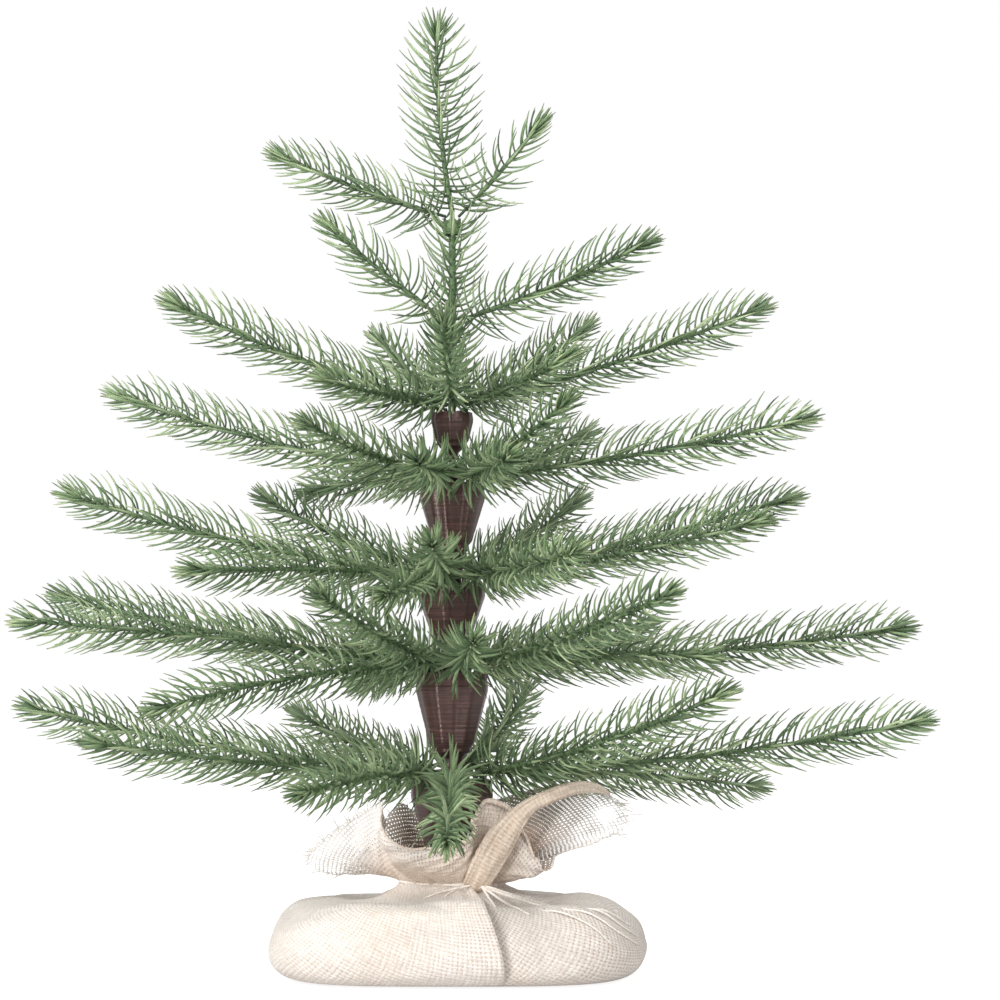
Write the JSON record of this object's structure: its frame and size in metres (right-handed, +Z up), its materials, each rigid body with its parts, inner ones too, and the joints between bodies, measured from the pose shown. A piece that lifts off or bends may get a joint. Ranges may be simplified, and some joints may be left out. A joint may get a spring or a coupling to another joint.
{
  "type": "artificial tabletop tree",
  "caption": "Small artificial spruce tree with bendable needled branches on a thread-wound trunk, standing in a weighted burlap wrap tied with twine.",
  "frame": {"origin": "on the trunk's axis, at the floor", "axes": "+Z up along the trunk; -Y is the front, which the front twine and collar fold face; +X is to the right seen from the front"},
  "size_m": [0.563, 0.3663, 0.5963],
  "materials": {
    "cement": "rough cast cement",
    "burlap": "coarse open plain weave, natural",
    "jute_twine": "twisted loose fibres",
    "coated_steel": "satin dark brown",
    "green_wire": "satin green coated wire",
    "green_tape": "matt tape",
    "brown_thread": "glossy wound thread",
    "green_moulding": "matt moulded polyethylene"
  },
  "bodies": {
    "trunk": {"cement_base": "cement", "burlap_wrap": "burlap", "neck_twine": "jute_twine", "trunk_tube": "coated_steel", "upper_stem": "green_moulding", "bound_stems": "green_wire", "tape_bindings": "green_tape", "thread_wrap_1": "brown_thread", "thread_wrap_2": "brown_thread", "thread_wrap_3": "brown_thread", "thread_wrap_4": "brown_thread", "thread_wrap_5": "brown_thread"},
    "tier1_branch_a": {"tier1_branch_a": "green_moulding"},
    "tier1_branch_b": {"tier1_branch_b": "green_moulding"},
    "tier1_branch_c": {"tier1_branch_c": "green_moulding"},
    "tier1_branch_d": {"tier1_branch_d": "green_moulding"},
    "tier1_branch_e": {"tier1_branch_e": "green_moulding"},
    "tier1_branch_f": {"tier1_branch_f": "green_moulding"},
    "tier1_branch_g": {"tier1_branch_g": "green_moulding"},
    "tier1_branch_h": {"tier1_branch_h": "green_moulding"},
    "tier1_branch_i": {"tier1_branch_i": "green_moulding"},
    "tier2_branch_a": {"tier2_branch_a": "green_moulding"},
    "tier2_branch_b": {"tier2_branch_b": "green_moulding"},
    "tier2_branch_c": {"tier2_branch_c": "green_moulding"},
    "tier2_branch_d": {"tier2_branch_d": "green_moulding"},
    "tier2_branch_e": {"tier2_branch_e": "green_moulding"},
    "tier2_branch_f": {"tier2_branch_f": "green_moulding"},
    "tier2_branch_g": {"tier2_branch_g": "green_moulding"},
    "tier2_branch_h": {"tier2_branch_h": "green_moulding"},
    "tier2_branch_i": {"tier2_branch_i": "green_moulding"},
    "tier2_branch_j": {"tier2_branch_j": "green_moulding"},
    "tier3_branch_a": {"tier3_branch_a": "green_moulding"},
    "tier3_branch_b": {"tier3_branch_b": "green_moulding"},
    "tier3_branch_c": {"tier3_branch_c": "green_moulding"},
    "tier3_branch_d": {"tier3_branch_d": "green_moulding"},
    "tier3_branch_e": {"tier3_branch_e": "green_moulding"},
    "tier3_branch_f": {"tier3_branch_f": "green_moulding"},
    "tier3_branch_g": {"tier3_branch_g": "green_moulding"},
    "tier3_branch_h": {"tier3_branch_h": "green_moulding"},
    "tier3_branch_i": {"tier3_branch_i": "green_moulding"},
    "tier4_branch_a": {"tier4_branch_a": "green_moulding"},
    "tier4_branch_b": {"tier4_branch_b": "green_moulding"},
    "tier4_branch_c": {"tier4_branch_c": "green_moulding"},
    "tier4_branch_d": {"tier4_branch_d": "green_moulding"},
    "tier4_branch_e": {"tier4_branch_e": "green_moulding"},
    "tier4_branch_f": {"tier4_branch_f": "green_moulding"},
    "tier4_branch_g": {"tier4_branch_g": "green_moulding"},
    "tier4_branch_h": {"tier4_branch_h": "green_moulding"},
    "tier5_branch_a": {"tier5_branch_a": "green_moulding"},
    "tier5_branch_b": {"tier5_branch_b": "green_moulding"},
    "tier5_branch_c": {"tier5_branch_c": "green_moulding"},
    "tier5_branch_d": {"tier5_branch_d": "green_moulding"},
    "tier5_branch_e": {"tier5_branch_e": "green_moulding"},
    "tier5_branch_f": {"tier5_branch_f": "green_moulding"},
    "tier5_branch_g": {"tier5_branch_g": "green_moulding"},
    "tier6_branch_a": {"tier6_branch_a": "green_moulding"},
    "tier6_branch_b": {"tier6_branch_b": "green_moulding"},
    "tier7_branch_a": {"tier7_branch_a": "green_moulding"},
    "tier7_branch_b": {"tier7_branch_b": "green_moulding"},
    "leader": {"leader_tip": "green_moulding"}
  },
  "joints": [
    {"name": "tier1_branch_a_bend", "type": "hinge", "parent": "trunk", "child": "tier1_branch_a", "pos_m": [-0.0203, 0.00285, 0.124], "axis": [0.1392, 0.9903, 0], "range_deg": [-15, 67]},
    {"name": "tier1_branch_b_bend", "type": "hinge", "parent": "trunk", "child": "tier1_branch_b", "pos_m": [-0.01914, -0.00735, 0.124], "axis": [-0.3584, 0.9336, 0], "range_deg": [-15, 70]},
    {"name": "tier1_branch_c_bend", "type": "hinge", "parent": "trunk", "child": "tier1_branch_c", "pos_m": [-0.01205, 0.01658, 0.124], "axis": [0.809, 0.5878, 0], "range_deg": [-15, 64]},
    {"name": "tier1_branch_d_bend", "type": "hinge", "parent": "trunk", "child": "tier1_branch_d", "pos_m": [-0.01086, -0.01739, 0.124], "axis": [-0.848, 0.5299, 0], "range_deg": [-15, 79]},
    {"name": "tier1_branch_e_bend", "type": "hinge", "parent": "trunk", "child": "tier1_branch_e", "pos_m": [0, -0.0205, 0.124], "axis": [-1, 0, 0], "range_deg": [-5, 89]},
    {"name": "tier1_branch_f_bend", "type": "hinge", "parent": "trunk", "child": "tier1_branch_f", "pos_m": [0.02035, -0.0025, 0.124], "axis": [-0.1219, -0.9925, 0], "range_deg": [-6, 69]},
    {"name": "tier1_branch_g_bend", "type": "hinge", "parent": "trunk", "child": "tier1_branch_g", "pos_m": [0.01615, -0.01262, 0.124], "axis": [-0.6157, -0.788, 0], "range_deg": [-6, 60]},
    {"name": "tier1_branch_h_bend", "type": "hinge", "parent": "trunk", "child": "tier1_branch_h", "pos_m": [0.01873, 0.00834, 0.124], "axis": [0.4067, -0.9135, 0], "range_deg": [-6, 80]},
    {"name": "tier1_branch_i_bend", "type": "hinge", "parent": "trunk", "child": "tier1_branch_i", "pos_m": [0.00531, 0.0198, 0.124], "axis": [0.9659, -0.2588, 0], "range_deg": [-15, 59]},
    {"name": "tier2_branch_a_bend", "type": "hinge", "parent": "trunk", "child": "tier2_branch_a", "pos_m": [-0.01806, -0.00222, 0.192], "axis": [-0.1219, 0.9925, 0], "range_deg": [-15, 70]},
    {"name": "tier2_branch_b_bend", "type": "hinge", "parent": "trunk", "child": "tier2_branch_b", "pos_m": [-0.01741, 0.00532, 0.192], "axis": [0.2924, 0.9563, 0], "range_deg": [-15, 66]},
    {"name": "tier2_branch_c_bend", "type": "hinge", "parent": "trunk", "child": "tier2_branch_c", "pos_m": [-0.01472, -0.0107, 0.192], "axis": [-0.5878, 0.809, 0], "range_deg": [-15, 84]},
    {"name": "tier2_branch_d_bend", "type": "hinge", "parent": "trunk", "child": "tier2_branch_d", "pos_m": [-0.00769, -0.01649, 0.192], "axis": [-0.9063, 0.4226, 0], "range_deg": [-15, 61]},
    {"name": "tier2_branch_e_bend", "type": "hinge", "parent": "trunk", "child": "tier2_branch_e", "pos_m": [0.00215, -0.01807, 0.192], "axis": [-0.993, -0.1184, 0], "range_deg": [-15, 68]},
    {"name": "tier2_branch_f_bend", "type": "hinge", "parent": "trunk", "child": "tier2_branch_f", "pos_m": [0.01813, 0.00159, 0.192], "axis": [0.0872, -0.9962, 0], "range_deg": [-15, 71]},
    {"name": "tier2_branch_g_bend", "type": "hinge", "parent": "trunk", "child": "tier2_branch_g", "pos_m": [0.0107, -0.01472, 0.192], "axis": [-0.809, -0.5878, 0], "range_deg": [-15, 64]},
    {"name": "tier2_branch_h_bend", "type": "hinge", "parent": "trunk", "child": "tier2_branch_h", "pos_m": [0.01721, -0.00592, 0.192], "axis": [-0.3256, -0.9455, 0], "range_deg": [-15, 75]},
    {"name": "tier2_branch_i_bend", "type": "hinge", "parent": "trunk", "child": "tier2_branch_i", "pos_m": [0.0117, 0.01394, 0.192], "axis": [0.766, -0.6428, 0], "range_deg": [-15, 68]},
    {"name": "tier2_branch_j_bend", "type": "hinge", "parent": "trunk", "child": "tier2_branch_j", "pos_m": [-0.00622, 0.0171, 0.192], "axis": [0.9397, 0.342, 0], "range_deg": [-15, 81]},
    {"name": "tier3_branch_a_bend", "type": "hinge", "parent": "trunk", "child": "tier3_branch_a", "pos_m": [-0.017, 0.0003, 0.248], "axis": [0.0175, 0.9998, 0], "range_deg": [-15, 63]},
    {"name": "tier3_branch_b_bend", "type": "hinge", "parent": "trunk", "child": "tier3_branch_b", "pos_m": [-0.01501, -0.00798, 0.248], "axis": [-0.4695, 0.8829, 0], "range_deg": [-15, 76]},
    {"name": "tier3_branch_c_bend", "type": "hinge", "parent": "trunk", "child": "tier3_branch_c", "pos_m": [-0.01283, 0.01115, 0.248], "axis": [0.6561, 0.7547, 0], "range_deg": [-15, 56]},
    {"name": "tier3_branch_d_bend", "type": "hinge", "parent": "trunk", "child": "tier3_branch_d", "pos_m": [-0.00142, -0.01694, 0.248], "axis": [-0.9965, 0.0837, 0], "range_deg": [-15, 67]},
    {"name": "tier3_branch_e_bend", "type": "hinge", "parent": "trunk", "child": "tier3_branch_e", "pos_m": [0.01649, 0.00411, 0.248], "axis": [0.2419, -0.9703, 0], "range_deg": [-15, 62]},
    {"name": "tier3_branch_f_bend", "type": "hinge", "parent": "trunk", "child": "tier3_branch_f", "pos_m": [0.01501, -0.00798, 0.248], "axis": [-0.4695, -0.8829, 0], "range_deg": [-15, 67]},
    {"name": "tier3_branch_g_bend", "type": "hinge", "parent": "trunk", "child": "tier3_branch_g", "pos_m": [0.00772, -0.01515, 0.248], "axis": [-0.891, -0.454, 0], "range_deg": [-15, 72]},
    {"name": "tier3_branch_h_bend", "type": "hinge", "parent": "trunk", "child": "tier3_branch_h", "pos_m": [0.00824, 0.01487, 0.248], "axis": [0.8746, -0.4848, 0], "range_deg": [-15, 56]},
    {"name": "tier3_branch_i_bend", "type": "hinge", "parent": "trunk", "child": "tier3_branch_i", "pos_m": [-0.00531, -0.01615, 0.248], "axis": [-0.95, 0.3123, 0], "range_deg": [-15, 85]},
    {"name": "tier4_branch_a_bend", "type": "hinge", "parent": "trunk", "child": "tier4_branch_a", "pos_m": [-0.01608, 0.00371, 0.311], "axis": [0.225, 0.9744, 0], "range_deg": [-15, 61]},
    {"name": "tier4_branch_b_bend", "type": "hinge", "parent": "trunk", "child": "tier4_branch_b", "pos_m": [0.0165, 0, 0.311], "axis": [0, -1, 0], "range_deg": [-15, 66]},
    {"name": "tier4_branch_c_bend", "type": "hinge", "parent": "trunk", "child": "tier4_branch_c", "pos_m": [-0.01038, -0.01282, 0.311], "axis": [-0.7771, 0.6293, 0], "range_deg": [-15, 64]},
    {"name": "tier4_branch_d_bend", "type": "hinge", "parent": "trunk", "child": "tier4_branch_d", "pos_m": [0.00564, -0.0155, 0.311], "axis": [-0.9397, -0.342, 0], "range_deg": [-15, 72]},
    {"name": "tier4_branch_e_bend", "type": "hinge", "parent": "trunk", "child": "tier4_branch_e", "pos_m": [0.01082, -0.01245, 0.311], "axis": [-0.7547, -0.6561, 0], "range_deg": [-15, 52]},
    {"name": "tier4_branch_f_bend", "type": "hinge", "parent": "trunk", "child": "tier4_branch_f", "pos_m": [0.0097, 0.01335, 0.311], "axis": [0.809, -0.5878, 0], "range_deg": [-15, 61]},
    {"name": "tier4_branch_g_bend", "type": "hinge", "parent": "trunk", "child": "tier4_branch_g", "pos_m": [-0.01082, 0.01245, 0.311], "axis": [0.7547, 0.6561, 0], "range_deg": [-15, 78]},
    {"name": "tier4_branch_h_bend", "type": "hinge", "parent": "trunk", "child": "tier4_branch_h", "pos_m": [-0.00315, -0.0162, 0.311], "axis": [-0.9816, 0.1908, 0], "range_deg": [-15, 74]},
    {"name": "tier5_branch_a_bend", "type": "hinge", "parent": "trunk", "child": "tier5_branch_a", "pos_m": [-0.00959, -0.00204, 0.356], "axis": [-0.2079, 0.9781, 0], "range_deg": [-15, 56]},
    {"name": "tier5_branch_b_bend", "type": "hinge", "parent": "trunk", "child": "tier5_branch_b", "pos_m": [0.00968, 0.00153, 0.356], "axis": [0.1564, -0.9877, 0], "range_deg": [-15, 57]},
    {"name": "tier5_branch_c_bend", "type": "hinge", "parent": "trunk", "child": "tier5_branch_c", "pos_m": [-0.00728, -0.00656, 0.356], "axis": [-0.6691, 0.7431, 0], "range_deg": [-15, 69]},
    {"name": "tier5_branch_d_bend", "type": "hinge", "parent": "trunk", "child": "tier5_branch_d", "pos_m": [0.00803, -0.00562, 0.356], "axis": [-0.5736, -0.8192, 0], "range_deg": [-15, 57]},
    {"name": "tier5_branch_e_bend", "type": "hinge", "parent": "trunk", "child": "tier5_branch_e", "pos_m": [0.00668, 0.00717, 0.356], "axis": [0.7314, -0.682, 0], "range_deg": [-15, 49]},
    {"name": "tier5_branch_f_bend", "type": "hinge", "parent": "trunk", "child": "tier5_branch_f", "pos_m": [-0.0043, 0.00881, 0.356], "axis": [0.8988, 0.4384, 0], "range_deg": [-15, 49]},
    {"name": "tier5_branch_g_bend", "type": "hinge", "parent": "trunk", "child": "tier5_branch_g", "pos_m": [-0.00034, -0.00979, 0.356], "axis": [-0.9994, 0.0349, 0], "range_deg": [-15, 50]},
    {"name": "tier6_branch_a_bend", "type": "hinge", "parent": "trunk", "child": "tier6_branch_a", "pos_m": [-0.00479, -0.00034, 0.41], "axis": [-0.0698, 0.9976, 0], "range_deg": [-15, 37]},
    {"name": "tier6_branch_b_bend", "type": "hinge", "parent": "trunk", "child": "tier6_branch_b", "pos_m": [0.00476, -0.00059, 0.41], "axis": [-0.1219, -0.9925, 0], "range_deg": [-15, 54]},
    {"name": "tier7_branch_a_bend", "type": "hinge", "parent": "trunk", "child": "tier7_branch_a", "pos_m": [-0.00478, 0.00042, 0.476], "axis": [0.0872, 0.9962, 0], "range_deg": [-15, 55]},
    {"name": "tier7_branch_b_bend", "type": "hinge", "parent": "trunk", "child": "tier7_branch_b", "pos_m": [0.00459, -0.0014, 0.476], "axis": [-0.2924, -0.9563, 0], "range_deg": [-15, 29]},
    {"name": "leader_bend", "type": "hinge", "parent": "trunk", "child": "leader", "pos_m": [0, 0, 0.47775], "axis": [1, 0, 0], "range_deg": [-30, 30]}
  ]
}
